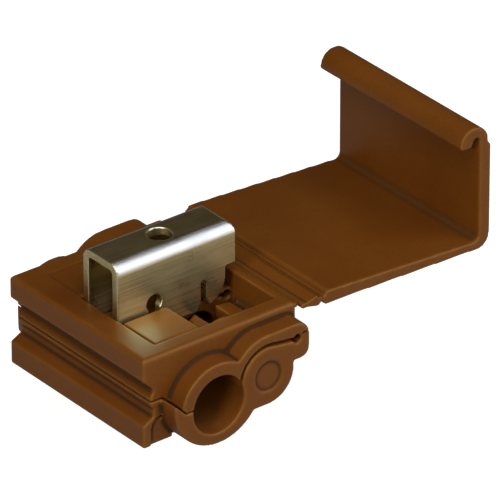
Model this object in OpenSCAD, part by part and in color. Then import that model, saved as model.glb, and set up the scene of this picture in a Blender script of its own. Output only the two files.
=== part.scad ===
// Side-entry insulation displacement connector, drawn open as it leaves its box.
// A moulded housing carries two wire channels: the run wire lies in a split channel, which a
// hinged flap opens from the left side, and the tap wire goes into a blind tube from the back.
// A U-shaped metal contact stands up out of the top pocket. Pressed flush, its slots cut through
// the insulation of both wires. The L-shaped cover then folds over it on a double hinge.
// Frame: the origin is on the axis of the run channel, halfway along the housing. Y runs along
// the wires, X across them towards the cover, Z up. Sizes are millimetres.

/* [Wire channels] */
// Diameter of the channel for the run wire
run_d = 5.5; // [4.6:0.1:6]
// Diameter of the bore for the tap wire
tap_d = 3.7; // [3:0.1:4.4]
// Distance across from the run axis to the tap axis
channel_pitch = 5.4; // [5:0.05:6.2]
// Height of the tap axis above the run axis
tap_rise = 0.9; // [0.5:0.05:1.2]
// Plastic round the tap bore
tap_wall = 0.95; // [0.8:0.05:1.1]
// Plastic between the run channel and the pocket above it
roof_t = 1.3; // [1:0.05:1.6]
// Plastic under the run channel
sole_t = 1.07; // [0.8:0.01:1.5]
// Height of the centre of the sole's curve above the run axis
sole_lift = 0.95; // [0.6:0.05:1.3]
// Thickness of the end wall that stops the tap wire
tap_stop = 1.2; // [0.8:0.1:2]
// Diameter of the shallow round dish in the outside of that end wall
dish_d = 3; // [2:0.1:3.4]
// Depth of that dish
dish_depth = 0.15; // [0.1:0.05:0.3]
// Length of the channel collars in front of the housing
front_collar = 2; // [1:0.1:3]
// Length of the channel collars behind the housing
back_collar = 2.7; // [1:0.1:3.5]

/* [Housing] */
// Length of the housing along the wires, without the collars
body_l = 19; // [17:0.5:23]
// Distance from the left face to the run axis
run_inset = 6.68; // [6.4:0.02:7.2]
// Depth of the pocket from the top face to its floor
pocket_depth = 1.72; // [1.5:0.02:2.2]
// Thickness of the wall left of the pocket
left_wall = 2.6; // [2.2:0.1:3]
// Thickness of the wall between the pocket and the cover hinge
right_wall = 0.9; // [0.7:0.05:1]
// Thickness of the end walls of the pocket
end_wall = 1.75; // [1.2:0.05:2.4]
// Width of the ledge over the run channel, left of each well
ledge_w = 4.8; // [4:0.1:5.4]
// Depth of the ledges beside the contact below the top face
ledge_drop = 0.3; // [0.1:0.05:0.6]
// Width of the dark groove round each ledge
ledge_groove = 0.35; // [0.2:0.05:0.5]
// Distance from each contact leg to the edge of the ledge beside it
leg_room = 0.3; // [0.2:0.05:0.6]
// Height of the band along the top of the left face
band_h = 2.07; // [1.6:0.01:2.4]
// Depth of the long recess in the left face
recess_depth = 1.1; // [0.8:0.05:1.3]
// Height of the slope between the foot's outer face and that recess
foot_slope = 0.55; // [0.3:0.05:0.7]
// Radius of the rounded edges of the top face
top_round = 0.35; // [0.1:0.05:0.6]

/* [Jaws and flap] */
// Gap between the jaws round the tap tube
jaw_gap = 0.35; // [0.2:0.02:0.45]
// Gap between the lips of the jaws on the left
seam_gap = 0.12; // [0.1:0.01:0.25]
// Thickness of the arm of the upper jaw over the tap tube
arm_t = 0.9; // [0.7:0.05:1.1]
// Thickness of the flap's hinge loop
loop_t = 0.9; // [0.7:0.05:1.1]
// Distance from the tap tube to the hinge loop
tongue_l = 0.8; // [0.6:0.05:1.4]
// Thickness of the tongue between the tap tube and the hinge loop
tongue_t = 1.6; // [1.2:0.05:2]
// Height of the flap's hinge axis above the run axis
loop_z = 3.45; // [3.2:0.05:3.6]
// Diameter of the rounded end of the slit beside the hinge loop
slit_end_d = 0.85; // [0.6:0.05:0.95]
// Length of the opening over the tap bore, beside each leg of the contact
window_l = 2.2; // [1:0.1:3]
// Width of the opening over the tap bore
window_w = 2.2; // [1.2:0.1:2.4]
// Height of the run axis above the underside of the foot
foot_drop = 2.95; // [2.6:0.05:3.4]
// Height of the foot's outer face
foot_h = 2.2; // [1.8:0.05:2.4]
// Width of the ridge along the underside of the foot
ridge_w = 0.8; // [0.6:0.05:1]
// Radius of the hollow between the foot and the sole
hollow_r = 1.3; // [0.8:0.05:1.5]
// Radius of the rounded lips of the two jaws
lip_r = 1; // [0.7:0.05:1.1]
// How far the lips stand out into the recess of the left face
lip_out = 0.36; // [0.2:0.02:0.5]
// Height of the seam at the lips above the run axis
lip_z = 1.45; // [1.2:0.05:1.7]
// Depth of the lip of the lower jaw from the recess in the left face
lip_depth = 1; // [0.6:0.05:1.2]
// Height of the seam at the run channel above the run axis
seam_z = 0.4; // [0.2:0.05:0.7]
// How far the flap can swing open, in degrees
flap_open = 30; // [20:1:35]

/* [Cover] */
// Distance from the right face to the inner hinge axis
hinge_out = 0.95; // [0.8:0.05:1.1]
// Distance between the two hinge axes
hinge_pitch = 1.9; // [1.8:0.05:2.2]
// Depth of the hinge axes below the top face
hinge_drop = 0.78; // [0.7:0.02:0.9]
// Depth of the open cover's face below the top face, beside its hinge
cover_drop = 0.16; // [0.1:0.02:0.3]
// Radius of the rolled bead at each hinge line
bead_r = 0.24; // [0.18:0.02:0.28]
// How far each hinge line folds, in degrees
hinge_fold = 79; // [60:1:80]
// Distance from the outer hinge axis to the inside of the cover's end wall
cover_reach = 17.75; // [17.6:0.05:18.5]
// Length of the cover along the wires
cover_l = 19; // [16:0.5:20]
// Thickness of the cover beside its hinge
plate_t = 1.3; // [1.1:0.05:1.6]
// Thickness of the cover beside its end wall
plate_end_t = 0.8; // [0.6:0.05:1]
// How far the cover's face falls from its hinge to its end wall
plate_fall = 1; // [0.6:0.05:1.2]
// Thickness of the cover's end wall
cover_wall_t = 1.25; // [1:0.05:1.6]
// Radius of the fold between the cover and its end wall
fold_r = 1.3; // [0.9:0.05:1.8]
// Radius of the fillet inside that fold
fold_in = 0.5; // [0.3:0.05:0.6]
// Height of the hook's lip above the face of the cover
hook_room = 9.6; // [9.4:0.05:10.4]
// Width of the round-bottomed groove between the hook's lip and the end wall
hook_gap = 1.15; // [1:0.05:1.2]
// Thickness of the hook's lip
lip_t = 1.15; // [0.9:0.05:1.4]
// Length of the hook's straight side between its rounded lip and its round groove
hook_side = 0.05; // [0.05:0.05:0.3]
// Thickness of the hook over its groove
hook_t = 1.22; // [1:0.01:1.5]
// Length of the hinge bar between the housing and the cover
bar_l = 18; // [15:0.5:18.5]
// Distance from the outer hinge axis to the ridge along the hinge bar
bar_ridge = 0.6; // [0.5:0.05:0.8]
// Height of that ridge above the flats beside it
ridge_rise = 0.12; // [0.06:0.02:0.2]
// Depth of the thick middle of the hinge bar below its flats
bar_belly = 0.24; // [0.1:0.02:0.3]

/* [Contact] */
// Thickness of the contact's metal
stock_t = 0.8; // [0.6:0.05:1]
// Width across the outsides of the contact's legs
contact_w = 4.9; // [4.2:0.1:5.6]
// Height of the contact
contact_h = 7.4; // [6.8:0.1:7.5]
// Travel from the raised position to flush with the top face
press_travel = 5.15; // [4.8:0.05:5.3]
// Outer radius of the contact's bends
bend_r = 1.1; // [0.9:0.05:1.4]
// Diameter of the round top of the run wire's slot
key_d = 1.65; // [1.3:0.05:2]
// Width of the run wire's slot
key_slot = 1.15; // [0.8:0.05:1.25]
// Height of the centre of that round top above the contact's lower edge
key_h = 2.5; // [2:0.05:2.8]
// Width of the tap wire's slot
tap_slot = 0.55; // [0.4:0.05:0.8]
// Height of the top of the tap wire's slot above the contact's lower edge
tap_slot_h = 2.8; // [2.4:0.05:3.2]
// Depth of the tapered mouth of each slot
mouth_depth = 0.9; // [0.5:0.05:1.2]
// Radius of the contact's upper corner at the cover's side
corner_round = 0.8; // [0.4:0.05:1.2]
// Diameter of the hole in the top of the contact
probe_d = 2.3; // [1.6:0.1:2.8]
// Play between the contact and the slots that guide it
contact_play = 0.08; // [0.05:0.01:0.15]

/* [Hidden] */
$fn = 64;
// Running clearance round each hinge bead
bead_play = 0.02;
// Overshoot that keeps a cut clear of the face it opens
cut = 1;
// Far more than the section's height, for cuts that run right through it
through = 20;
// Extra turn cut free beyond each hinge's limit, in degrees
swing_spare = 4;
// Length of the zone beside each hinge bead that the swing clears
swing_l = 1;
// Least plastic left outside the contact's legs when they are pressed
leg_skin = 0.4;
// How far the legs of the pressed contact swing clear of the opening flap
leg_swing = 0.9;
// Directions in which a leaf runs from its hinge, in degrees
to_right = 0;
to_left = 180;
downwards = -90;
brown = [0.47, 0.29, 0.12];
metal = [0.66, 0.63, 0.5];

run_r = run_d / 2;
tap_r = tap_d / 2;
tap_out = tap_r + tap_wall;
tap_axis = [channel_pitch, tap_rise];
slit_r = tap_out + jaw_gap;
sole_r = run_r + sole_t + sole_lift;
collar_r = run_r + roof_t;
left_x = -run_inset;
loop_x = channel_pitch + tap_out + tongue_l + loop_t / 2;
right_x = loop_x + loop_t / 2;
loop_axis = [loop_x, loop_z];
slit_end = [loop_x - loop_t / 2 - slit_end_d / 2, loop_z];
arm_top = tap_rise + slit_r + arm_t;
corner_r = right_x - slit_end[0];

front_y = -body_l / 2;
back_y = body_l / 2;
collar_y0 = front_y - front_collar;
collar_y1 = back_y + back_collar;

floor_z = collar_r;
top_z = floor_z + pocket_depth;
foot_z = -foot_drop;
band_z = top_z - band_h;
foot_top = foot_z + foot_h;
recess_x = left_x + recess_depth;
lip_x = recess_x - lip_out + lip_r;
web_z = foot_top + foot_slope;
tongue_z = loop_z - slit_end_d / 2 - tongue_t;

pocket_x0 = left_x + left_wall;
pocket_x1 = right_x - right_wall;
pocket_y = body_l / 2 - end_wall;
well_x = pocket_x0 + ledge_groove + ledge_w;
leg_y = contact_w / 2;
ledge_y = leg_y + leg_room;
contact_top = top_z + press_travel;
leg_z = contact_top - contact_h;
pressed_z = leg_z - press_travel;
leg_x0 = pocket_x0 + contact_play;
leg_x1 = pocket_x1 - contact_play;

hinge_z = top_z - hinge_drop;
hinge_a = [right_x + hinge_out, hinge_z];
hinge_b = [hinge_a[0] + hinge_pitch, hinge_z];
cover_y0 = -cover_l / 2;
face_z = top_z - cover_drop;
wall_x = hinge_b[0] + cover_reach;
face_end_z = face_z - plate_fall;
lip_end_z = face_end_z + hook_room;
hook_top = lip_end_z + lip_t / 2 + hook_side + hook_gap / 2 + hook_t;

// Extrudes an XZ outline along Y
module along(y0, y1) {
    translate([0, y1, 0])
        rotate([90, 0, 0])
            linear_extrude(y1 - y0)
                children();
}

// A rectangle given by its corners
module block(x0, z0, x1, z1) {
    translate([x0, z0])
        square([x1 - x0, z1 - z0]);
}

// A square corner with one rounded edge, used to round a corner that points up and right
module corner_cut(r) {
    difference() {
        square(r + cut);
        circle(r);
    }
}

// The room that a hinged leaf of half thickness r sweeps round its axis, between two directions
module swing_room(at, r, from, to) {
    translate(at) {
        circle(r + bead_play);
        for (turn = [from, to])
            rotate(turn)
                translate([0, -r - bead_play])
                    square([swing_l, 2 * (r + bead_play)]);
    }
}

// Everything under the seam between the jaws, left of the tap tube
module under_seam(drop) {
    seam_x = recess_x + lip_depth;
    polygon([
        [left_x - cut, lip_z - drop],
        [seam_x, lip_z - drop],
        [seam_x + lip_z - seam_z, seam_z - drop],
        [channel_pitch, seam_z - drop],
        [channel_pitch, -through],
        [left_x - cut, -through]
    ]);
}

// The long recess of the left face, with sloped sides
module left_recess() {
    polygon([
        [left_x - cut, band_z],
        [left_x, band_z],
        [recess_x, band_z - recess_depth],
        [recess_x, web_z],
        [left_x, foot_top],
        [left_x - cut, foot_top]
    ]);
}

// The slit over the tap tube, and all that lies below it on the right
module under_arm() {
    translate(tap_axis)
        circle(slit_r);
    polygon([
        [channel_pitch, -through],
        [channel_pitch, tap_rise + slit_r],
        [slit_end[0], loop_z + jaw_gap / 2],
        [slit_end[0], loop_z],
        [right_x + cut, loop_z],
        [right_x + cut, -through]
    ]);
    translate(slit_end)
        circle(d = slit_end_d);
    swing_room(loop_axis, loop_t / 2, downwards, downwards + flap_open + swing_spare);
}

// Section of the upper jaw inside the housing
module housing_section() {
    difference() {
        union() {
            difference() {
                block(left_x, 0, right_x, top_z);
                left_recess();
                translate([left_x + top_round, top_z - top_round])
                    mirror([1, 0])
                        corner_cut(top_round);
                translate([right_x - top_round, top_z - top_round])
                    corner_cut(top_round);
            }
            translate([lip_x, lip_z])
                circle(lip_r);
        }
        under_seam(0);
        under_arm();
        circle(run_r);
    }
}

// Section of the upper jaw where its collars stand out of the end faces
module collar_section() {
    difference() {
        union() {
            circle(collar_r);
            intersection() {
                translate(tap_axis)
                    circle(slit_r + arm_t);
                block(0, tap_rise, right_x, arm_top);
            }
            difference() {
                block(channel_pitch, tap_rise, right_x, arm_top);
                translate([right_x - corner_r, arm_top - corner_r])
                    corner_cut(corner_r);
            }
        }
        under_seam(0);
        under_arm();
        circle(run_r);
    }
}

// Section of the flap where it carries the wires, over its whole length
module flap_section() {
    difference() {
        union() {
            intersection() {
                translate([0, sole_lift])
                    circle(sole_r);
                under_seam(seam_gap);
            }
            translate(tap_axis)
                circle(tap_out);
            block(0, tap_rise - tap_out, channel_pitch, 0);
            difference() {
                polygon([
                    [channel_pitch, tongue_z],
                    [channel_pitch, tap_rise + tap_out],
                    [slit_end[0], loop_z - jaw_gap / 2],
                    [slit_end[0], loop_z],
                    [right_x, loop_z],
                    [right_x, tongue_z]
                ]);
                translate([right_x - loop_t, tongue_z + loop_t])
                    mirror([0, 1])
                        corner_cut(loop_t);
            }
            translate(loop_axis)
                circle(loop_t / 2);
        }
        circle(run_r);
        translate(slit_end)
            circle(d = slit_end_d);
    }
}

// Section of the foot and lower lip, which run between the collars
module foot_section() {
    ridge_x = left_x + ridge_w;
    hollow_x = ridge_x + hollow_r;
    intersection() {
        union() {
            difference() {
                block(left_x, foot_z, hollow_x, lip_z);
                left_recess();
                translate([hollow_x, web_z - hollow_r])
                    circle(hollow_r);
                block(ridge_x, foot_z - cut, hollow_x + cut, web_z - hollow_r);
            }
            translate([lip_x, lip_z])
                circle(lip_r);
            block(hollow_x - cut, web_z, -run_r - sole_t / 2, lip_z);
        }
        under_seam(seam_gap);
    }
}

// Outline of the pressed legs across the wires, grown all round, and by more on the left.
// Its lower corners follow the sole and the tap tube.
module leg_outline(grow, left) {
    difference() {
        block(leg_x0 - grow - left, pressed_z - grow, leg_x1 + grow, top_z + through);
        difference() {
            block(left_x, foot_z, 0, seam_z);
            translate([0, sole_lift])
                circle(sole_r - leg_skin + grow);
        }
        difference() {
            block(channel_pitch, -through, right_x, tongue_z + leg_skin - grow);
            translate(tap_axis) {
                circle(tap_out - leg_skin + grow);
                square(tap_out - leg_skin + grow);
            }
        }
    }
}

// The two slots that the contact's legs slide in
module leg_slots(left) {
    slot_w = stock_t + 2 * contact_play;
    for (near = [-leg_y - contact_play, leg_y - stock_t - contact_play])
        along(near, near + slot_w)
            leg_outline(contact_play, left);
}

// The wells in front of and behind the contact, open down to the flap
module wells() {
    for (y0 = [-pocket_y, leg_y])
        translate([well_x, y0, 0])
            cube([pocket_x1 - well_x, pocket_y - leg_y, top_z + cut]);
}

// The shallow ledges over the run channel, each with a groove along its outer edges
module ledges() {
    depth = top_z - ledge_drop;
    ledge_l = pocket_y - ledge_y;
    for (side = [0, 1])
        mirror([0, side, 0]) {
            translate([pocket_x0, ledge_y, depth])
                cube([well_x - pocket_x0, ledge_l, cut]);
            translate([pocket_x0, ledge_y, depth - ledge_drop])
                cube([ledge_groove, ledge_l, cut]);
            translate([pocket_x0, pocket_y - ledge_groove, depth - ledge_drop])
                cube([well_x - pocket_x0, ledge_groove, cut]);
        }
}

// The middle of the pocket, which the top of the pressed contact fills
module contact_bay() {
    difference() {
        along(-ledge_y, ledge_y)
            block(pocket_x0, floor_z, pocket_x1, top_z + cut);
        along(-leg_y, leg_y)
            translate(tap_axis)
                circle(slit_r + arm_t - contact_play);
    }
}

// Rounds the front and back edges of the top face
module end_rounds() {
    for (side = [0, 1])
        mirror([0, side, 0])
            translate([left_x - cut, back_y - top_round, top_z - top_round])
                rotate([90, 0, 90])
                    linear_extrude(right_x - left_x + 2 * cut)
                        corner_cut(top_round);
}

module housing() {
    color(brown)
        difference() {
            union() {
                along(front_y, back_y)
                    housing_section();
                along(collar_y0, collar_y1)
                    collar_section();
                housing_hinge();
            }
            end_rounds();
            wells();
            ledges();
            contact_bay();
            leg_slots(0);
        }
}

// The film that joins the housing's right face to the first hinge line
module housing_hinge() {
    along(-bar_l / 2, bar_l / 2)
        difference() {
            block(right_x - right_wall / 2, hinge_z - bead_r, hinge_a[0], hinge_z + bead_r);
            swing_room(hinge_a, bead_r, to_right, to_right + hinge_fold + swing_spare);
        }
}

// The openings over the tap bore, in front of and behind the contact
module windows() {
    for (y0 = [-leg_y - window_l, leg_y])
        along(y0, y0 + window_l)
            block(channel_pitch - window_w / 2, tap_rise, channel_pitch + window_w / 2, top_z);
}

module wire_flap() {
    color(brown)
        difference() {
            union() {
                along(collar_y0, collar_y1)
                    flap_section();
                along(front_y, back_y)
                    foot_section();
            }
            along(collar_y0 + tap_stop, collar_y1 + cut)
                translate(tap_axis)
                    circle(tap_r);
            along(collar_y0 - cut, collar_y0 + dish_depth)
                translate(tap_axis)
                    circle(d = dish_d);
            leg_slots(leg_swing);
            windows();
        }
}

module hinge_bar() {
    ridge_x = hinge_b[0] - bar_ridge;
    flat_top = hinge_z + bead_r;
    flat_low = hinge_z - bead_r;
    color(brown)
        along(-bar_l / 2, bar_l / 2) {
            for (at = [hinge_a, hinge_b])
                translate(at)
                    circle(bead_r);
            polygon([
                [hinge_a[0], flat_top],
                [hinge_a[0], flat_low],
                [hinge_a[0] + 2 * bead_r, flat_low],
                [ridge_x, flat_low - bar_belly],
                [hinge_b[0] - bead_r, flat_low - bar_belly],
                [hinge_b[0], flat_low],
                [hinge_b[0], flat_top],
                [hinge_b[0] - bead_r, flat_top],
                [ridge_x, flat_top + ridge_rise],
                [ridge_x - 2 * bead_r, flat_top]
            ]);
        }
}

// Outline of the cover: plate, end wall and hook. The fillet inside the fold meets the sloped
// face and the end wall smoothly.
module cover_section() {
    plate_x = hinge_b[0] + 2 * bead_r;
    out_x = wall_x + cover_wall_t;
    tip_x = wall_x - hook_gap - lip_t;
    under_z = face_end_z - plate_end_t;
    hook_r = (out_x - tip_x) / 2;
    lip_round = lip_t / 2;
    groove_z = lip_end_z + lip_round + hook_side;
    slope = plate_fall / (wall_x - plate_x - bead_r);
    stretch = sqrt(1 + slope * slope);
    fillet_at = [wall_x - fold_in, face_end_z + fold_in * (slope + stretch)];
    difference() {
        polygon([
            [hinge_b[0], hinge_z - bead_r],
            [hinge_b[0], hinge_z + bead_r],
            [plate_x, hinge_z + bead_r],
            [plate_x + bead_r, face_z],
            fillet_at - [fold_in * slope, fold_in] / stretch,
            fillet_at,
            [wall_x, fillet_at[1]],
            [wall_x, groove_z],
            [wall_x - hook_gap, groove_z],
            [wall_x - hook_gap, lip_end_z],
            [tip_x, lip_end_z],
            [tip_x, hook_top],
            [out_x, hook_top],
            [out_x, under_z],
            [plate_x + plate_t, face_z - plate_t],
            [plate_x, face_z - plate_t],
            [plate_x - bead_r, hinge_z - bead_r]
        ]);
        translate(fillet_at)
            circle(fold_in);
        translate([out_x - fold_r, under_z + fold_r])
            mirror([0, 1])
                corner_cut(fold_r);
        for (side = [0, 1])
            translate([out_x - hook_r, hook_top - hook_r])
                mirror([side, 0])
                    corner_cut(hook_r);
        translate([wall_x - hook_gap / 2, groove_z])
            circle(d = hook_gap);
        for (side = [0, 1])
            translate([tip_x + lip_round, lip_end_z + lip_round])
                mirror([side, 0])
                    mirror([0, 1])
                        corner_cut(lip_round);
        swing_room(hinge_b, bead_r, to_left, to_left - hinge_fold - swing_spare);
    }
}

module cover() {
    color(brown)
        along(cover_y0, cover_y0 + cover_l)
            cover_section();
}

// The slot for one wire, with a tapered mouth at the contact's lower edge
module wire_slot(w, h) {
    translate([-w / 2, -cut])
        square([w, h + cut]);
    polygon([
        [-w / 2 - mouth_depth / 2, 0],
        [-w / 2, mouth_depth],
        [w / 2, mouth_depth],
        [w / 2 + mouth_depth / 2, 0],
        [w / 2 + mouth_depth / 2, -cut],
        [-w / 2 - mouth_depth / 2, -cut]
    ]);
}

// The contact seen along Y, as it stands when pressed
module leg_section() {
    difference() {
        leg_outline(0, 0);
        translate([leg_x1 - corner_round, top_z - corner_round])
            corner_cut(corner_round);
        translate([0, pressed_z]) {
            wire_slot(key_slot, key_h);
            translate([0, key_h])
                circle(d = key_d);
        }
        translate([channel_pitch, pressed_z])
            wire_slot(tap_slot, tap_slot_h);
    }
}

// The U of the contact, seen along X
module contact_profile() {
    bend_in = bend_r - stock_t;
    difference() {
        union() {
            translate([-leg_y, 0])
                square([contact_w, contact_h - bend_r]);
            translate([-leg_y + bend_r, 0])
                square([contact_w - 2 * bend_r, contact_h]);
            for (side = [-1, 1])
                translate([side * (leg_y - bend_r), contact_h - bend_r])
                    circle(bend_r);
        }
        translate([-leg_y + stock_t, -cut])
            square([contact_w - 2 * stock_t, contact_h - bend_r + cut]);
        translate([-leg_y + bend_r, -cut])
            square([contact_w - 2 * bend_r, contact_h - stock_t + cut]);
        for (side = [-1, 1])
            translate([side * (leg_y - bend_r), contact_h - bend_r])
                circle(bend_in);
    }
}

module contact() {
    color(metal)
        translate([0, 0, press_travel])
            difference() {
                intersection() {
                    translate([leg_x0 - cut, 0, pressed_z])
                        rotate([90, 0, 90])
                            linear_extrude(leg_x1 - leg_x0 + 2 * cut)
                                contact_profile();
                    along(-leg_y - cut, leg_y + cut)
                        leg_section();
                }
                translate([(leg_x0 + leg_x1) / 2, 0, pressed_z])
                    cylinder(d = probe_d, h = through);
            }
}

housing();
wire_flap();
hinge_bar();
cover();
contact();
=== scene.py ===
"""Finished surfaces of a brown side-entry insulation displacement connector, shown open.

The frame holds the solids in metres: the run wire's axis is the origin, Y runs along the wires,
X across them towards the cover, Z up. The housing, the flap and the contact take their form from
those solids and get the soft edges of the real pieces. The cover and the hinge bar are sections
run along the wires. Sizes in the classes are millimetres, but for the studio's own distances.
"""

import sys

import logging
import math
from dataclasses import dataclass
from enum import Enum

import bmesh
import bpy
import numpy as np
from mathutils import Matrix, Vector


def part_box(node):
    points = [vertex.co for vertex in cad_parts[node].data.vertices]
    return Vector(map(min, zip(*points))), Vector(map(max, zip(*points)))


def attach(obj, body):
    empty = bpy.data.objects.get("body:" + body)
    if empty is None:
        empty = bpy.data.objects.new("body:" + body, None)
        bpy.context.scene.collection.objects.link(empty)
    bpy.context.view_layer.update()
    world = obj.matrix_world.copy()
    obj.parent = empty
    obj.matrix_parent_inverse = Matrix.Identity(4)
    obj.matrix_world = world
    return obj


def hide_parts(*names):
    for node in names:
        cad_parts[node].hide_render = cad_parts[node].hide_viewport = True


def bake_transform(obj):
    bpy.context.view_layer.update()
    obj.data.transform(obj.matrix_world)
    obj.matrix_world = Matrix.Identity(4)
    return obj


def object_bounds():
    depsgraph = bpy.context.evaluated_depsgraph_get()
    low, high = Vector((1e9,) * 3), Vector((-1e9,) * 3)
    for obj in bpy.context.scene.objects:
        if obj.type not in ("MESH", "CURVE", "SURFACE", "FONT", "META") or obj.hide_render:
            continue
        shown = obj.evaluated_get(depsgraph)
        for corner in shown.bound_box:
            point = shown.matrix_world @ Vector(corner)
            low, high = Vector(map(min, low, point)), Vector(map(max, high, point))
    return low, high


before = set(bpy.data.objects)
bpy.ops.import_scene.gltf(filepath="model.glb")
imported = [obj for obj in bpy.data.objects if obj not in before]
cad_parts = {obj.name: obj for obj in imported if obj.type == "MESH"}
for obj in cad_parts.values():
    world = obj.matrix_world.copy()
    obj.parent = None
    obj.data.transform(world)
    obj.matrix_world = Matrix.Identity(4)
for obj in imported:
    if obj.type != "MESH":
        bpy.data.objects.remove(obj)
CAD_BOUNDS = [list(corner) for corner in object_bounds()]

MM = 0.001
MERGE_GAP = 0.0005  # mm: points closer than this are one point
BEYOND = 40.0  # mm: further out than any point of the object
FULL_BEND = 0.12  # how far an edge's point stands out, in edge lengths, where the bend counts in full
BEND_ATTRIBUTE = "surface_bend"
log = logging.getLogger("connector")

Point = tuple[float, float]
Place = tuple[float, float, float]
Colour = tuple[float, float, float]
Block = tuple[Place, Place]


class Slot(Enum):
    """The record's material slots."""

    PLASTIC = "brown_plastic"
    METAL = "plated_contact"


class Body(Enum):
    """The bodies that the pieces ride on, each with one solid of the same name."""

    HOUSING = "housing"
    FLAP = "wire_flap"
    BAR = "hinge_bar"
    COVER = "cover"
    CONTACT = "contact"


def new_object(name: str, data: bpy.types.ID) -> bpy.types.Object:
    """Puts a mesh, a light or a camera into the scene as an object at the origin.

    Args:
        name: The object's name.
        data: What it holds.

    Returns:
        The new object.
    """
    made = bpy.data.objects.new(name, data)
    bpy.context.scene.collection.objects.link(made)
    return made


def new_piece(name: str, solid: bmesh.types.BMesh) -> bpy.types.Object:
    """Makes an object of a mesh in the works, and frees the latter.

    Args:
        name: The piece's name.
        solid: The mesh, in millimetres.

    Returns:
        The new object.
    """
    mesh = bpy.data.meshes.new(name)
    solid.to_mesh(mesh)
    solid.free()
    return new_object(name, mesh)


def aim(item: bpy.types.Object, direction: Vector) -> None:
    """Turns a light or a camera so that it looks along a direction."""
    item.rotation_euler = direction.to_track_quat("-Z", "Y").to_euler()


def bake_modifiers(piece: bpy.types.Object) -> None:
    """Turns an object's modifiers into its mesh.

    Args:
        piece: The object with live modifiers, which ends with a plain mesh and no modifier.
    """
    depsgraph = bpy.context.evaluated_depsgraph_get()
    baked = bpy.data.meshes.new_from_object(piece.evaluated_get(depsgraph), depsgraph=depsgraph)
    piece.modifiers.clear()
    old = piece.data
    piece.data = baked
    bpy.data.meshes.remove(old)
    baked.name = piece.name


def arc(centre: Point, radius: float, start: float, end: float, steps: int = 12) -> list[Point]:
    """Points along an arc.

    Args:
        centre: The arc's centre.
        radius: Its radius.
        start: Direction of its first point, in degrees.
        end: Direction of its last point, in degrees.
        steps: How many equal steps it has.

    Returns:
        The points, both ends included.
    """
    turns = [math.radians(start + (end - start) * i / steps) for i in range(steps + 1)]
    return [(centre[0] + radius * math.cos(t), centre[1] + radius * math.sin(t)) for t in turns]


class NodeTree:
    """A thin layer over a node tree that adds, sets and links nodes in one call."""

    COLUMN = 220
    ROW = 260
    NODES_IN_ROW = 8

    def __init__(self, tree: bpy.types.NodeTree) -> None:
        """Keeps the tree.

        Args:
            tree: The shader or geometry tree to fill.
        """
        self.tree = tree
        self.count = 0

    def add(self, kind: str, **settings: object) -> bpy.types.Node:
        """Adds a node.

        Args:
            kind: The node's type name.
            settings: The node's own properties, or its inputs by name, with _ for a space.

        Returns:
            The new node.
        """
        node = self.tree.nodes.new(kind)
        row, column = divmod(self.count, self.NODES_IN_ROW)
        node.location = (self.COLUMN * column, -self.ROW * row)
        self.count += 1
        for key, value in settings.items():
            if hasattr(node, key):
                setattr(node, key, value)
            else:
                self.fill(node, **{key: value})
        return node

    def fill(self, node: bpy.types.Node, **values: object) -> None:
        """Feeds several inputs of a node.

        Args:
            node: The node.
            values: What each input gets, by its name, with _ for a space.
        """
        for name, value in values.items():
            self.feed(node.inputs[name.replace("_", " ")], value)

    def feed(self, socket: bpy.types.NodeSocket, value: object) -> None:
        """Links a socket to its source, or sets its value.

        Args:
            socket: The input socket.
            value: An output socket, or a plain value.
        """
        if isinstance(value, bpy.types.NodeSocket):
            self.tree.links.new(value, socket)
        else:
            socket.default_value = value

    def calc(self, operation: str, *values: object, clamp: bool = False) -> bpy.types.NodeSocket:
        """Adds a Math node.

        Args:
            operation: Its operation.
            values: Its inputs, in order.
            clamp: Whether the result stays between 0 and 1.

        Returns:
            Its result.
        """
        node = self.add("ShaderNodeMath", operation=operation, use_clamp=clamp)
        for socket, value in zip(node.inputs, values):
            self.feed(socket, value)
        return node.outputs[0]

    def ramp(self, value: object, span: Point, to: Point = (0.0, 1.0)) -> bpy.types.NodeSocket:
        """Adds a clamped Map Range node.

        Args:
            value: Its input.
            span: The input's lowest and highest values.
            to: What those two become.

        Returns:
            Its result.
        """
        return self.add(
            "ShaderNodeMapRange",
            Value=value, From_Min=span[0], From_Max=span[1], To_Min=to[0], To_Max=to[1],
        ).outputs[0]

    def mix(self, factor: object, first: object, second: object) -> bpy.types.NodeSocket:
        """Adds a colour Mix node.

        Args:
            factor: How much of the second colour there is.
            first: The first colour, as a socket or as three numbers.
            second: The second colour.

        Returns:
            Its colour.
        """
        node = self.add("ShaderNodeMix", data_type="RGBA")
        colour_in = [socket for socket in node.inputs if socket.type == "RGBA"]
        for socket, value in zip([node.inputs[0], *colour_in], (factor, first, second)):
            self.feed(socket, (*value, 1.0) if isinstance(value, tuple) else value)
        return next(socket for socket in node.outputs if socket.type == "RGBA")

    def group(self, shared: bpy.types.NodeTree, **values: float) -> bpy.types.Node:
        """Adds a shared group, with its inputs' own values by name."""
        return self.add("ShaderNodeGroup", node_tree=shared, **values)


def shader_group(name: str, inputs: dict[str, float], outputs: dict[str, str]) -> NodeTree:
    """Starts a shader group.

    Args:
        name: Its name.
        inputs: Its number inputs with their usual values.
        outputs: Its outputs with their kinds.

    Returns:
        The group's tree, ready to fill.
    """
    tree = bpy.data.node_groups.new(name, "ShaderNodeTree")
    for label, value in inputs.items():
        socket = tree.interface.new_socket(label, in_out="INPUT", socket_type="NodeSocketFloat")
        socket.default_value = value
    for label, kind in outputs.items():
        tree.interface.new_socket(label, in_out="OUTPUT", socket_type=f"NodeSocket{kind}")
    return NodeTree(tree)


def new_material(name: str) -> tuple[bpy.types.Material, NodeTree, bpy.types.Node]:
    """Starts a material.

    Args:
        name: Its name.

    Returns:
        The material, its tree and its Principled shader.
    """
    material = bpy.data.materials.new(name)
    material.use_nodes = True
    return material, NodeTree(material.node_tree), material.node_tree.nodes["Principled BSDF"]


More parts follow.
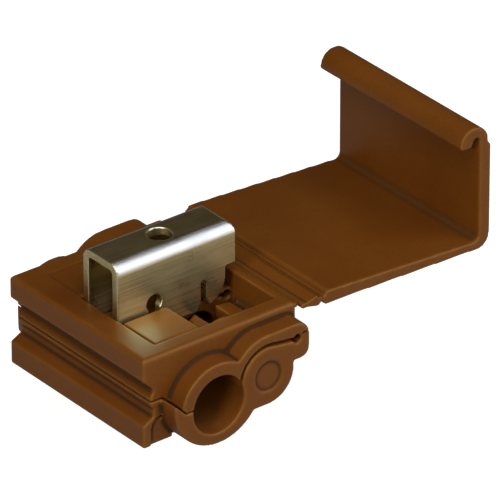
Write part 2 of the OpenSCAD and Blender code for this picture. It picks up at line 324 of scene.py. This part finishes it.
class Effects:
    """The shader groups that the finishes share, each built once."""

    NOISE_DETAIL = 3.0
    RELIEF = 0.05 * MM
    PATCHY = (1.2, 0.4)

    def __init__(self) -> None:
        """Builds the groups."""
        self.grain = self._grain()
        self.wear_and_painted_light = self._wear_and_painted_light()

    def _noise(self, nodes: NodeTree, place: object, scale: object) -> bpy.types.NodeSocket:
        """Adds a noise texture.

        Args:
            nodes: The tree.
            place: Where it is read.
            scale: Its scale.

        Returns:
            Its value.
        """
        return nodes.add(
            "ShaderNodeTexNoise", Vector=place, Scale=scale, Detail=self.NOISE_DETAIL
        ).outputs[0]

    def _grain(self) -> bpy.types.NodeTree:
        """A surface grain, drawn out along X if wanted: its relief, its values and a slow mottle.

        Returns:
            The group.
        """
        inputs = {"Grain Scale": 6000.0, "Stretch": 1.0, "Mottle Scale": 300.0, "Depth": 0.1}
        outputs = {"Normal": "Vector", "Grain": "Float", "Mottle": "Float"}
        nodes = shader_group("surface_grain", inputs, outputs)
        given = nodes.add("NodeGroupInput").outputs
        place = nodes.add("ShaderNodeTexCoord").outputs["Object"]
        axes = nodes.add("ShaderNodeSeparateXYZ", Vector=place).outputs
        drawn = nodes.add(
            "ShaderNodeCombineXYZ",
            X=nodes.calc("DIVIDE", axes["X"], given["Stretch"]), Y=axes["Y"], Z=axes["Z"],
        ).outputs[0]
        fine = self._noise(nodes, drawn, given["Grain Scale"])
        slow = self._noise(nodes, place, given["Mottle Scale"])
        relief = nodes.add(
            "ShaderNodeBump", Strength=given["Depth"], Distance=self.RELIEF, Height=fine
        ).outputs[0]
        nodes.add("NodeGroupOutput", Normal=relief, Grain=fine, Mottle=slow)
        return nodes.tree

    def _wear_and_painted_light(self) -> bpy.types.NodeTree:
        """Masks of the convex edges, for worn spots and a painted highlight, and of the concave
        corners, for a painted shade.

        Returns:
            The group.
        """
        inputs = {"Rubbed": 1.0, "Dirty": 1.0, "Break Up Scale": 900.0}
        outputs = {"Rubbed Edge": "Float", "Dirty Corner": "Float"}
        nodes = shader_group("edge_wear_and_painted_light", inputs, outputs)
        given = nodes.add("NodeGroupInput").outputs
        bend = nodes.add("ShaderNodeAttribute", attribute_name=BEND_ATTRIBUTE).outputs["Fac"]
        place = nodes.add("ShaderNodeTexCoord").outputs["Object"]
        patch = self._noise(nodes, place, given["Break Up Scale"])
        broken = nodes.calc("MULTIPLY_ADD", patch, *self.PATCHY)
        # convex edges broken up by noise: worn spots and a painted highlight
        wear_highlight = nodes.calc("MULTIPLY", nodes.calc("MAXIMUM", bend, 0.0), broken)
        # concave corners: the mask of the painted shade
        shaded = nodes.calc("MAXIMUM", nodes.calc("MULTIPLY", bend, -1.0), 0.0)
        nodes.add(
            "NodeGroupOutput",
            Rubbed_Edge=nodes.calc("MULTIPLY", wear_highlight, given["Rubbed"], clamp=True),
            Dirty_Corner=nodes.calc("MULTIPLY", shaded, given["Dirty"], clamp=True),
        )
        return nodes.tree


@dataclass(frozen=True)
class MouldedNylon:
    """Brown moulded plastic: satin, faintly mottled, lighter on its convex edges by worn spots and a
    painted highlight, with a painted shade in its concave corners.
    """

    name: str = "brown_nylon"
    colour: Colour = (0.126, 0.039, 0.0042)
    shade: Colour = (0.107, 0.031, 0.0036)
    speck: Colour = (0.075, 0.022, 0.003)
    # lighter colour of the convex edges: worn spots and a painted highlight
    wear_highlight: Colour = (0.20, 0.088, 0.017)
    # painted shade in the concave corners, much darker than the plastic
    corner_shade: Colour = (0.030, 0.009, 0.002)
    sheen_tint: Colour = (1.0, 0.82, 0.45)
    roughness: Point = (0.37, 0.49)
    dull: float = 0.5
    ior: float = 1.53
    shine: float = 0.30
    wear_highlight_amount: float = 0.35
    corner_shade_amount: float = 2.4
    grain_scale: float = 5200.0
    grain_depth: float = 0.16
    speck_span: Point = (0.45, 0.75)
    speck_share: float = 0.5
    mottle_scale: float = 150.0
    mottle_span: Point = (0.3, 0.7)

    def build(self, effects: Effects) -> bpy.types.Material:
        """Makes the material.

        Args:
            effects: The shared shader groups.

        Returns:
            The material.
        """
        material, nodes, shader = new_material(self.name)
        grain = nodes.group(
            effects.grain,
            Grain_Scale=self.grain_scale, Mottle_Scale=self.mottle_scale, Depth=self.grain_depth,
        ).outputs
        wear_and_painted_light = nodes.group(
            effects.wear_and_painted_light, Rubbed=self.wear_highlight_amount, Dirty=self.corner_shade_amount
        ).outputs
        base = nodes.mix(nodes.ramp(grain["Mottle"], self.mottle_span), self.shade, self.colour)
        specks = nodes.ramp(grain["Grain"], self.speck_span, (0.0, self.speck_share))
        speckled = nodes.mix(specks, base, self.speck)
        # convex edges lightened: worn spots and a painted highlight
        edged = nodes.mix(wear_and_painted_light["Rubbed Edge"], speckled, self.wear_highlight)
        gloss = nodes.ramp(grain["Mottle"], self.mottle_span, self.roughness)
        nodes.fill(
            shader,
            # concave corners darkened with a painted shade
            Base_Color=nodes.mix(wear_and_painted_light["Dirty Corner"], edged, self.corner_shade),
            Roughness=nodes.calc("MULTIPLY_ADD", wear_and_painted_light["Dirty Corner"], self.dull, gloss),
            Normal=grain["Normal"],
            IOR=self.ior, Specular_IOR_Level=self.shine, Specular_Tint=(*self.sheen_tint, 1.0),
        )
        return material


@dataclass(frozen=True)
class StampedPlate:
    """Tarnished plated strip with the rolling lines along the contact's length."""

    name: str = "plated_strip"
    colour: Colour = (0.66, 0.57, 0.31)
    tarnish: Colour = (0.31, 0.23, 0.085)
    # lighter colour of the convex edges: worn spots and a painted highlight
    edge: Colour = (0.70, 0.64, 0.44)
    wear_highlight_amount: float = 0.9
    roughness: Point = (0.27, 0.36)
    gloss_span: Point = (0.35, 0.7)
    stain_scale: float = 420.0
    stain_span: Point = (0.4, 0.7)
    stain_share: float = 0.45
    line_scale: float = 6500.0
    line_stretch: float = 60.0
    line_depth: float = 0.3
    line_span: Point = (0.45, 0.7)
    line_share: float = 0.6
    # painted highlight of the two folds, a pale grey band
    fold_highlight: Colour = (0.50, 0.505, 0.55)
    bent_span: Point = (0.08, 0.32)
    bent_rough: float = 0.10
    brushed: float = 0.6
    brush_turn: float = 0.25
    along: Place = (1.0, 0.02, 0.03)

    def build(self, effects: Effects) -> bpy.types.Material:
        """Makes the material.

        Args:
            effects: The shared shader groups.

        Returns:
            The material.
        """
        material, nodes, shader = new_material(self.name)
        lines = nodes.group(
            effects.grain,
            Grain_Scale=self.line_scale, Stretch=self.line_stretch,
            Mottle_Scale=self.stain_scale, Depth=self.line_depth,
        ).outputs
        wear_and_painted_light = nodes.group(effects.wear_and_painted_light, Rubbed=self.wear_highlight_amount).outputs
        stain = nodes.ramp(lines["Mottle"], self.stain_span, (0.0, self.stain_share))
        base = nodes.mix(stain, self.colour, self.tarnish)
        streaks = nodes.ramp(lines["Grain"], self.line_span, (0.0, self.line_share))
        streaked = nodes.mix(streaks, base, self.tarnish)
        fold = self._fold(nodes)
        # the folds get the painted highlight colour
        fold_highlighted = nodes.mix(fold, streaked, self.fold_highlight)
        gloss = nodes.ramp(lines["Mottle"], self.gloss_span, self.roughness)
        brush = dict(zip("XYZ", self.along))
        nodes.fill(
            shader,
            # convex edges lightened: worn spots and a painted highlight
            Base_Color=nodes.mix(wear_and_painted_light["Rubbed Edge"], fold_highlighted, self.edge),
            Roughness=nodes.calc("MULTIPLY_ADD", fold, self.bent_rough, gloss),
            Normal=lines["Normal"],
            Metallic=1.0, Anisotropic=self.brushed, Anisotropic_Rotation=self.brush_turn,
            Tangent=nodes.add("ShaderNodeCombineXYZ", **brush).outputs[0],
        )
        return material

    def _fold(self, nodes: NodeTree) -> bpy.types.NodeSocket:
        """Finds the two long folds, where the face is turned halfway from the top to a leg, for their
        painted highlight.

        Args:
            nodes: The material's tree.

        Returns:
            The folds' mask.
        """
        facing = nodes.add("ShaderNodeNewGeometry").outputs["Normal"]
        axes = nodes.add("ShaderNodeSeparateXYZ", Vector=facing).outputs
        turned = nodes.calc("ABSOLUTE", nodes.calc("MULTIPLY", axes["Y"], axes["Z"]))
        return nodes.ramp(turned, self.bent_span)


@dataclass(frozen=True)
class StudioFloor:
    """Matt paper that looks white to the camera and throws only a dim light on the object."""

    name: str = "white_paper"
    colour: Colour = (0.36, 0.36, 0.36)
    patch: Colour = (0.38, 0.38, 0.38)
    grain_scale: float = 900.0
    grain_depth: float = 0.02
    patch_scale: float = 8.0
    roughness: float = 0.9
    glow: float = 0.9

    def build(self, effects: Effects) -> bpy.types.Material:
        """Makes the material.

        Args:
            effects: The shared shader groups.

        Returns:
            The material.
        """
        material, nodes, shader = new_material(self.name)
        grain = nodes.group(
            effects.grain,
            Grain_Scale=self.grain_scale, Mottle_Scale=self.patch_scale, Depth=self.grain_depth,
        ).outputs
        seen = nodes.add("ShaderNodeLightPath").outputs["Is Camera Ray"]
        nodes.fill(
            shader,
            Base_Color=nodes.mix(grain["Mottle"], self.colour, self.patch),
            Roughness=self.roughness,
            Emission_Color=(1.0, 1.0, 1.0, 1.0),
            Emission_Strength=nodes.calc("MULTIPLY", seen, self.glow),
        )
        return material


def solids_copy(*bodies: Body) -> bmesh.types.BMesh:
    """Copies solids of the frame into one mesh.

    Args:
        bodies: The solids' bodies.

    Returns:
        The merged copy, in millimetres.
    """
    copy = bmesh.new()
    for body in bodies:
        copy.from_mesh(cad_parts[body.value].data)
    copy.transform(Matrix.Scale(1 / MM, 4))
    bmesh.ops.remove_doubles(copy, verts=copy.verts, dist=MERGE_GAP)
    return copy


def add_block(solid: bmesh.types.BMesh, block: Block) -> None:
    """Adds a closed block to a mesh, to be fused with it by the skin.

    Args:
        solid: The mesh, in millimetres.
        block: The block's lowest and highest corners.
    """
    low, high = (Vector(corner) for corner in block)
    place = Matrix.Translation((low + high) / 2) @ Matrix.Diagonal((*(high - low), 1))
    bmesh.ops.create_cube(solid, size=1, matrix=place)


def mark_bends(mesh: bpy.types.Mesh, spread: int) -> None:
    """Stores how sharply the surface bends at each point, above 0 on edges and below 0 in corners.

    Args:
        mesh: A mesh of even, small faces.
        spread: How many times the value is shared with the neighbours.
    """
    count = len(mesh.vertices)
    place = np.empty(count * 3)
    normal = np.empty(count * 3)
    ends = np.empty(len(mesh.edges) * 2, dtype=np.int64)
    mesh.vertices.foreach_get("co", place)
    mesh.vertices.foreach_get("normal", normal)
    mesh.edges.foreach_get("vertices", ends)
    place, normal, ends = place.reshape(-1, 3), normal.reshape(-1, 3), ends.reshape(-1, 2)
    first, second = ends[:, 0], ends[:, 1]
    degree = np.maximum(np.bincount(ends.ravel(), minlength=count), 1)

    def around(values: np.ndarray) -> np.ndarray:
        """Finds the mean of each point's neighbours.

        Args:
            values: One value for each point.

        Returns:
            The means, one for each point.
        """
        onto_first = np.bincount(first, weights=values[second], minlength=count)
        onto_second = np.bincount(second, weights=values[first], minlength=count)
        return (onto_first + onto_second) / degree

    middle = np.stack([around(place[:, axis]) for axis in range(3)], axis=1)
    step = np.linalg.norm(place[first] - place[second], axis=1).mean()
    bend = -((middle - place) * normal).sum(axis=1) / (FULL_BEND * step)
    for _ in range(spread):
        bend = (bend + around(bend)) / 2
    stored = mesh.attributes.new(BEND_ATTRIBUTE, "FLOAT", "POINT")
    stored.data.foreach_set("value", np.clip(bend, -1, 1).astype(np.float32))


@dataclass(frozen=True)
class Softening:
    """How a sharp solid becomes a piece with the soft edges of the real one."""

    voxel: float = 0.11
    passes: int = 8
    strength: float = 0.5
    spread: int = 3
    triangles: int = 180000

    def apply(self, piece: bpy.types.Object) -> bpy.types.Object:
        """Gives a closed mesh in millimetres its soft skin.

        Args:
            piece: The object with the sharp mesh.

        Returns:
            The same object with the soft mesh, still in millimetres.
        """
        skin = piece.modifiers.new("skin", "REMESH")
        skin.mode = "VOXEL"
        skin.voxel_size = self.voxel
        soft = piece.modifiers.new("soft_edges", "SMOOTH")
        soft.factor = self.strength
        soft.iterations = self.passes
        bake_modifiers(piece)
        mark_bends(piece.data, self.spread)
        triangles = 2 * len(piece.data.polygons)
        if triangles > self.triangles:
            thin = piece.modifiers.new("thin", "DECIMATE")
            thin.ratio = self.triangles / triangles
            bake_modifiers(piece)
        return piece


def settle(piece: bpy.types.Object) -> None:
    """Brings a piece from millimetres to metres, and keeps it inside the whole object's box.

    Args:
        piece: The piece.
    """
    mesh = piece.data
    place = np.empty(len(mesh.vertices) * 3)
    mesh.vertices.foreach_get("co", place)
    low, high = CAD_BOUNDS
    place = np.clip(place.reshape(-1, 3) * MM, np.array(low), np.array(high))
    mesh.vertices.foreach_set("co", place.ravel())
    mesh.update()
    mesh.polygons.foreach_set("use_smooth", np.ones(len(mesh.polygons), dtype=bool))


class Piece:
    """What the pieces of the object have in common, once their meshes are made."""

    name: str
    body: Body
    slot: Slot

    def seat(self, built: bpy.types.Object) -> bpy.types.Object:
        """Puts a rigid piece on its body, in place of the body's solid.

        Args:
            built: The piece, in millimetres.

        Returns:
            The same piece, in metres.
        """
        settle(built)
        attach(built, self.body.value)
        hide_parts(self.body.value)
        return built

    def dress(self, built: bpy.types.Object, finish: bpy.types.Material) -> None:
        """Gives the piece its finish, and reports it.

        Args:
            built: The finished piece.
            finish: Its material.
        """
        built.data.materials.clear()
        built.data.materials.append(finish)
        log.info("%s: %d faces, %s", built.name, len(built.data.polygons), finish.name)


@dataclass
class LoopCut:
    """Where the hinge loop at the right is taken out of the housing and the flap."""

    beyond_x: float = 8.575
    axis_z: float = 3.45
    half_height: float = 0.3
    inner_x: float = 9.0
    outer_x: float = 9.9
    plug_half: float = 0.25
    margin: float = 0.2
    slack: float = 1e-5

    @property
    def top(self) -> float:
        """Height of the loop's upper end."""
        return self.axis_z + self.half_height

    @property
    def foot(self) -> float:
        """Height of the loop's lower end."""
        return self.axis_z - self.half_height

    def split(self, solid: bmesh.types.BMesh, level: float) -> None:
        """Cuts the faces beyond the slit along a level, and keeps both halves.

        Args:
            solid: The mesh, in millimetres.
            level: The height of the cut.
        """
        from_x = self.beyond_x - self.margin
        near = [face for face in solid.faces if face.calc_center_median().x > from_x]
        parts = {*near}
        for face in near:
            parts.update(face.edges)
            parts.update(face.verts)
        bmesh.ops.bisect_plane(
            solid, geom=list(parts), dist=self.slack, plane_co=(0, 0, level), plane_no=(0, 0, 1)
        )

    def keep(self, piece: bpy.types.Object, low: float, high: float, only: bool) -> None:
        """Keeps what lies between two levels beyond the slit, and closes the cuts.

        Args:
            piece: The piece, in millimetres.
            low: The lower level.
            high: The upper level.
            only: Whether everything before the slit goes as well.
        """
        solid = bmesh.new()
        solid.from_mesh(piece.data)
        for level in (low, high):
            self.split(solid, level)
        doomed = []
        for face in solid.faces:
            middle = face.calc_center_median()
            if middle.x > self.beyond_x:
                if not low < middle.z < high:
                    doomed.append(face)
            elif only:
                doomed.append(face)
        bmesh.ops.delete(solid, geom=doomed, context="FACES")
        rims = [edge for edge in solid.edges if edge.is_boundary]
        caps = bmesh.ops.holes_fill(solid, edges=rims, sides=0)["faces"]
        for cap in caps:
            for edge in cap.edges:
                edge.smooth = False
        bmesh.ops.triangulate(solid, faces=caps)
        solid.to_mesh(piece.data)
        solid.free()


@dataclass
class Moulding(Piece):
    """A moulded piece that takes its form from one solid of the frame."""

    name: str
    body: Body
    low: float = -BEYOND
    high: float = BEYOND
    blocks: tuple[Block, ...] = ()
    trim_from: Point | None = None
    trim_slope: float = 1.26
    trim_least_y: float = 10.0
    softening: Softening = Softening()
    slot: Slot = Slot.PLASTIC

    def trim(self, piece: bpy.types.Object) -> None:
        """Slants the back end of a collar at its left.

        Args:
            piece: The piece with its soft skin, in millimetres.
        """
        from_x, from_y = self.trim_from
        for vertex in piece.data.vertices:
            if vertex.co.x < from_x:
                limit = from_y + self.trim_slope * (vertex.co.x - from_x)
                if vertex.co.y > limit > self.trim_least_y:
                    vertex.co.y = limit

    def build(self, loop: LoopCut) -> bpy.types.Object:
        """Makes the piece, without the hinge loop.

        Args:
            loop: Where the loop is taken out.

        Returns:
            The piece.
        """
        solid = solids_copy(self.body)
        for block in self.blocks:
            add_block(solid, block)
        piece = self.softening.apply(new_piece(self.name, solid))
        if self.trim_from:
            self.trim(piece)
        loop.keep(piece, self.low, self.high, only=False)
        return self.seat(piece)


@dataclass
class LoopHinge(Piece):
    """The living hinge that joins the housing to the flap, at the right of the tap channel."""

    name: str = "loop_hinge"
    softening: Softening = Softening()
    slot: Slot = Slot.PLASTIC

    def build(self, loop: LoopCut) -> bpy.types.Object:
        """Makes the loop from the two solids and the plastic between them.

        Args:
            loop: The loop's place.

        Returns:
            The piece, put on neither body.
        """
        low, high = (Vector(corner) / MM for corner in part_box(Body.HOUSING.value))
        joined = solids_copy(Body.HOUSING, Body.FLAP)
        near = (loop.inner_x, low.y, loop.axis_z - loop.plug_half)
        add_block(joined, (near, (loop.outer_x, high.y, loop.axis_z + loop.plug_half)))
        piece = self.softening.apply(new_piece(self.name, joined))
        loop.keep(piece, loop.foot, loop.top, only=True)
        settle(piece)
        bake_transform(piece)
        return piece


class SectionSweep:
    """Geometry nodes that run a closed outline along the wires and close both its ends."""

    def __init__(self) -> None:
        """Builds the tree, with the outline, the length and the finish as named inputs."""
        tree = bpy.data.node_groups.new("section_sweep", "GeometryNodeTree")
        tree.is_modifier = True
        sockets = tree.interface
        sockets.new_socket("Outline", in_out="INPUT", socket_type="NodeSocketGeometry")
        length = sockets.new_socket("Length", in_out="INPUT", socket_type="NodeSocketFloat")
        finish = sockets.new_socket("Finish", in_out="INPUT", socket_type="NodeSocketMaterial")
        sockets.new_socket("Piece", in_out="OUTPUT", socket_type="NodeSocketGeometry")
        self.tree = tree
        self.length_socket = length.identifier
        self.finish_socket = finish.identifier
        nodes = NodeTree(tree)
        given = nodes.add("NodeGroupInput").outputs
        curve = nodes.add("GeometryNodeMeshToCurve", Mesh=given["Outline"]).outputs[0]
        filled = nodes.add("GeometryNodeFillCurve", mode="NGONS", Curve=curve).outputs[0]
        back = nodes.calc("MULTIPLY", given["Length"], -0.5)
        shift = nodes.add("ShaderNodeCombineXYZ", Z=back).outputs[0]
        start = nodes.add("GeometryNodeTransform", Geometry=filled, Translation=shift).outputs[0]
        along = nodes.add(
            "GeometryNodeExtrudeMesh",
            mode="FACES", Mesh=start, Offset=(0.0, 0.0, 1.0), Offset_Scale=given["Length"],
            Individual=False,
        ).outputs["Mesh"]
        lid = nodes.add("GeometryNodeFlipFaces", Mesh=start).outputs[0]
        closed = nodes.add("GeometryNodeJoinGeometry")
        for part in (along, lid):
            nodes.feed(closed.inputs[0], part)
        merged = nodes.add(
            "GeometryNodeMergeByDistance", Geometry=closed.outputs[0], Distance=MERGE_GAP
        ).outputs[0]
        turned = nodes.add(
            "GeometryNodeTransform", Geometry=merged, Rotation=(math.pi / 2, 0.0, 0.0)
        ).outputs[0]
        real = nodes.add("GeometryNodeRealizeInstances", Geometry=turned).outputs[0]
        dressed = nodes.add(
            "GeometryNodeSetMaterial", Geometry=real, Material=given["Finish"]
        ).outputs[0]
        nodes.add("NodeGroupOutput", Piece=dressed)

    def run(
        self, name: str, outline: list[Point], ends: Point, finish: bpy.types.Material
    ) -> bpy.types.Object:
        """Runs an outline along the wires.

        Args:
            name: The piece's name.
            outline: Its X and Z, going round once, in millimetres.
            ends: Where it starts and ends along the wires.
            finish: Its material.

        Returns:
            The piece, in millimetres.
        """
        mesh = bpy.data.meshes.new(name)
        count = len(outline)
        edges = [(i, (i + 1) % count) for i in range(count)]
        mesh.from_pydata([(x, z, 0.0) for x, z in outline], edges, [])
        piece = new_object(name, mesh)
        sweep = piece.modifiers.new("sweep", "NODES")
        sweep.node_group = self.tree
        sweep[self.length_socket] = ends[1] - ends[0]
        sweep[self.finish_socket] = finish
        bake_modifiers(piece)
        shell = bmesh.new()
        shell.from_mesh(piece.data)
        bmesh.ops.translate(shell, verts=shell.verts, vec=(0, (ends[0] + ends[1]) / 2, 0))
        bmesh.ops.recalc_face_normals(shell, faces=shell.faces)
        shell.to_mesh(piece.data)
        shell.free()
        return piece


@dataclass(frozen=True)
class HingeLines:
    """The two hinge lines between the housing and the cover."""

    inner_x: float = 10.85
    outer_x: float = 12.75
    z: float = 4.99
    bead: float = 0.24
    play: float = 0.03


@dataclass
class HingeBar(Piece):
    """The bar between the two hinge lines, with a ridge along its top and a thick belly."""

    hinge: HingeLines = HingeLines()
    name: str = "hinge_bar_strip"
    ends: Point = (-9.5, 9.2)
    ridge_in: float = 0.5
    ridge_rise: float = 0.30
    belly: float = 0.24
    softening: Softening = Softening(voxel=0.06, passes=3, triangles=120000)
    body: Body = Body.BAR
    slot: Slot = Slot.PLASTIC

    def outline(self) -> list[Point]:
        """Draws the bar's section, with a rounded bead at each hinge line.

        Returns:
            Its X and Z, going round once.
        """
        line = self.hinge
        top, low = line.z + line.bead, line.z - line.bead
        ridge_x = line.outer_x - self.ridge_in
        return [
            *arc((line.inner_x, line.z), line.bead, 90, 270),
            (line.inner_x + 2 * line.bead, low),
            (ridge_x, low - self.belly),
            (line.outer_x - line.bead, low - self.belly),
            *arc((line.outer_x, line.z), line.bead, -90, 90),
            (line.outer_x - line.bead, top),
            (ridge_x, top + self.ridge_rise),
            (line.inner_x + 1.5 * line.bead, top - line.bead / 4),
        ]

    def build(self, sweep: SectionSweep, finish: bpy.types.Material) -> bpy.types.Object:
        """Makes the bar.

        Args:
            sweep: The geometry nodes that run the section.
            finish: The material.

        Returns:
            The piece.
        """
        piece = sweep.run(self.name, self.outline(), self.ends, finish)
        return self.seat(self.softening.apply(piece))


@dataclass
class Cover(Piece):
    """The L-shaped cover: a plate that thins to its end wall, and a hook along the wall's top."""

    hinge: HingeLines = HingeLines()
    name: str = "cover_shell"
    ends: Point = (-9.5, 10.1)
    seat_from: float = -62.0
    face_z: float = 5.61
    face_end_z: float = 4.61
    plate_t: float = 1.3
    plate_end_t: float = 0.8
    wall_x: float = 30.5
    wall_t: float = 1.18
    fold_out: float = 1.3
    fold_in: float = 0.5
    lip_end_z: float = 14.21
    lip_t: float = 1.35
    lip_round: float = 0.3
    hook_gap: float = 0.85
    groove_top: float = 15.0
    hook_top: float = 16.05
    head_inset: float = 0.25
    softening: Softening = Softening(voxel=0.12, passes=8, triangles=150000)
    body: Body = Body.COVER
    slot: Slot = Slot.PLASTIC

    def outline(self) -> list[Point]:
        """Draws the cover's section, from its seat at the hinge round the hook and back.

        Returns:
            Its X and Z, going round once.
        """
        line = self.hinge
        seat = line.bead + line.play
        plate_x = line.outer_x + 2 * line.bead
        out_x = self.wall_x + self.wall_t
        under_z = self.face_end_z - self.plate_end_t
        groove_r = self.hook_gap / 2
        groove_z = self.groove_top - groove_r
        lip_x = self.wall_x - self.hook_gap
        lip_z = self.lip_end_z + self.lip_round
        head_x = out_x - self.head_inset
        hook_r = (head_x - self.wall_x + self.hook_gap + self.lip_t) / 2
        slope = (self.face_z - self.face_end_z) / (self.wall_x - plate_x - line.bead)
        lean = math.degrees(math.atan(slope))
        fillet_z = self.face_end_z + self.fold_in * (slope + math.hypot(1, slope))
        left_round = (lip_x - self.lip_t + self.lip_round, lip_z)
        fold = (out_x - self.fold_out, under_z + self.fold_out)
        return [
            *arc((line.outer_x, line.z), seat, self.seat_from, 0, steps=8),
            (line.outer_x + seat, line.z + line.bead),
            (plate_x, line.z + line.bead),
            (plate_x + line.bead, self.face_z),
            *arc((self.wall_x - self.fold_in, fillet_z), self.fold_in, -90 - lean, 0, steps=10),
            *arc((self.wall_x - groove_r, groove_z), groove_r, 0, 180, steps=16),
            *arc((lip_x - self.lip_round, lip_z), self.lip_round, 0, -90, steps=6),
            *arc(left_round, self.lip_round, -90, -180, steps=6),
            *arc((head_x - hook_r, self.hook_top - hook_r), hook_r, 180, 0, steps=28),
            (head_x, self.hook_top - hook_r - self.head_inset),
            (out_x, self.hook_top - hook_r - 2 * self.head_inset),
            *arc(fold, self.fold_out, 0, -90, steps=14),
            (plate_x + self.plate_t, self.face_z - self.plate_t),
            (plate_x, self.face_z - self.plate_t),
            (plate_x - line.bead, line.z - line.bead),
        ]

    def build(self, sweep: SectionSweep, finish: bpy.types.Material) -> bpy.types.Object:
        """Makes the cover.

        Args:
            sweep: The geometry nodes that run the section.
            finish: The material.

        Returns:
            The piece.
        """
        piece = sweep.run(self.name, self.outline(), self.ends, finish)
        return self.seat(self.softening.apply(piece))


@dataclass
class Contact(Piece):
    """The U of stamped strip, with one slot for each wire in both legs."""

    name: str = "u_contact"
    softening: Softening = Softening(voxel=0.08, passes=7, triangles=190000)
    body: Body = Body.CONTACT
    slot: Slot = Slot.METAL

    def build(self) -> bpy.types.Object:
        """Makes the contact from its solid, with the slight rounding of sheared edges."""
        return self.seat(self.softening.apply(new_piece(self.name, solids_copy(self.body))))


@dataclass
class SoftBox:
    """One studio light, square unless it has a height, with its sizes in metres."""

    name: str
    towards: Place
    distance: float
    size: float
    power: float
    tint: Colour = (1.0, 1.0, 1.0)
    height: float = 0.0

    def build(self, target: Vector) -> None:
        """Hangs the light, turned to the target.

        Args:
            target: The point that it lights, in metres.
        """
        data = bpy.data.lights.new(self.name, "AREA")
        data.size = self.size
        if self.height:
            data.shape = "RECTANGLE"
            data.size_y = self.height
        data.energy = self.power
        data.color = self.tint
        lamp = new_object(self.name, data)
        direction = Vector(self.towards).normalized()
        lamp.location = target + direction * self.distance
        aim(lamp, -direction)


@dataclass
class LegGlow:
    """The lit leg's glare on the ledge before it, as a small light that hangs at the leg."""

    name: str = "leg_glow"
    place: Place = (-1.6, -2.75, 7.3)
    direction: Place = (0.05, -0.62, -0.78)
    size: float = 3.0
    power: float = 0.00016
    tint: Colour = (0.62, 0.90, 0.62)

    def build(self, contact: bpy.types.Object) -> None:
        """Hangs the light at the contact, so that it sinks with it.

        Args:
            contact: The contact's piece.
        """
        data = bpy.data.lights.new(self.name, "AREA")
        data.size = self.size * MM
        data.energy = self.power
        data.color = self.tint
        lamp = new_object(self.name, data)
        lamp.location = Vector(self.place) * MM
        aim(lamp, Vector(self.direction))
        lamp.parent = contact


@dataclass
class Studio:
    """Camera, lights, floor and world, with the camera's distance and the floor in metres."""

    lens: float = 579.6
    sensor: float = 36.0
    clip: Point = (0.05, 20.0)
    distance: float = 0.700
    azimuth: float = -38.35
    elevation: float = 29.33
    target: Place = (11.477, -1.190, 6.689)
    floor_size: float = 3.0
    floor_drop: float = 0.007
    world_tone: Colour = (0.045, 0.036, 0.022)
    lights: tuple[SoftBox, ...] = (
        SoftBox("key", (-0.40, -0.45, 1.0), 0.55, 0.28, 1.6),
        SoftBox("front", (-0.30, -1.0, 0.50), 0.50, 0.16, 0.58, (1.0, 0.95, 0.85)),
        SoftBox("bend_light", (0.54, -0.68, 0.50), 0.42, 0.22, 1.75, (0.93, 0.96, 1.0), 0.80),
        SoftBox("left_low", (-1.0, -0.42, 0.46), 0.55, 0.13, 1.35, (1.0, 0.93, 0.80)),
    )

    def build(self, effects: Effects) -> None:
        """Sets up the studio.

        Args:
            effects: The shared shader groups.
        """
        scene = bpy.context.scene
        scene.view_settings.view_transform = "Standard"
        look_at = Vector(self.target) * MM
        self._camera(scene, look_at)
        for light in self.lights:
            light.build(look_at)
        world = bpy.data.worlds.new("studio")
        world.use_nodes = True
        backdrop = world.node_tree.nodes["Background"]
        backdrop.inputs["Color"].default_value = (*self.world_tone, 1.0)
        scene.world = world
        self._floor(effects)

    def _camera(self, scene: bpy.types.Scene, look_at: Vector) -> None:
        """Puts the camera at the photograph's angle.

        Args:
            scene: The scene.
            look_at: The point at the middle of the picture.
        """
        turn, rise = math.radians(self.azimuth), math.radians(self.elevation)
        back = Vector((
            math.sin(turn) * math.cos(rise), -math.cos(turn) * math.cos(rise), math.sin(rise)
        ))
        data = bpy.data.cameras.new("camera")
        data.lens = self.lens
        data.sensor_width = self.sensor
        data.clip_start, data.clip_end = self.clip
        camera = new_object("camera", data)
        camera.location = look_at + back * self.distance
        aim(camera, -back)
        scene.camera = camera

    def _floor(self, effects: Effects) -> None:
        """Lays the floor lower than the open flap reaches.

        Args:
            effects: The shared shader groups.
        """
        level = CAD_BOUNDS[0][2] - self.floor_drop
        half = self.floor_size / 2
        corners = [(-half, -half), (half, -half), (half, half), (-half, half)]
        mesh = bpy.data.meshes.new("floor")
        mesh.from_pydata([(x, y, level) for x, y in corners], [], [(0, 1, 2, 3)])
        floor = new_object("floor", mesh)
        mesh.materials.append(StudioFloor().build(effects))


def main() -> None:
    """Builds the studio and the pieces in order."""
    logging.basicConfig(level=logging.INFO, format="%(name)s: %(message)s", stream=sys.stdout)
    effects = Effects()
    Studio().build(effects)
    nylon = MouldedNylon().build(effects)
    plate = StampedPlate().build(effects)
    loop = LoopCut()
    sweep = SectionSweep()
    ledge_fill = ((-4.5, 2.9, 5.0), (0.9, 8.0, 5.70))
    near_fill = ((-6.2, -9.3, -2.95), (-3.4, -8.1, -0.6))
    far_fill = ((-6.2, 8.1, -2.95), (-3.4, 9.3, -0.6))
    looped = (
        Moulding("housing_shell", Body.HOUSING, low=loop.top, blocks=(ledge_fill,)),
        Moulding(
            "flap_shell", Body.FLAP, high=loop.foot,
            blocks=(near_fill, far_fill), trim_from=(-3.75, 12.2),
        ),
        LoopHinge(),
    )
    for piece in looped:
        piece.dress(piece.build(loop), nylon)
    for piece in (HingeBar(), Cover()):
        piece.dress(piece.build(sweep, nylon), nylon)
    contact = Contact()
    built = contact.build()
    contact.dress(built, plate)
    LegGlow().build(built)


if __name__ == "__main__":
    main()
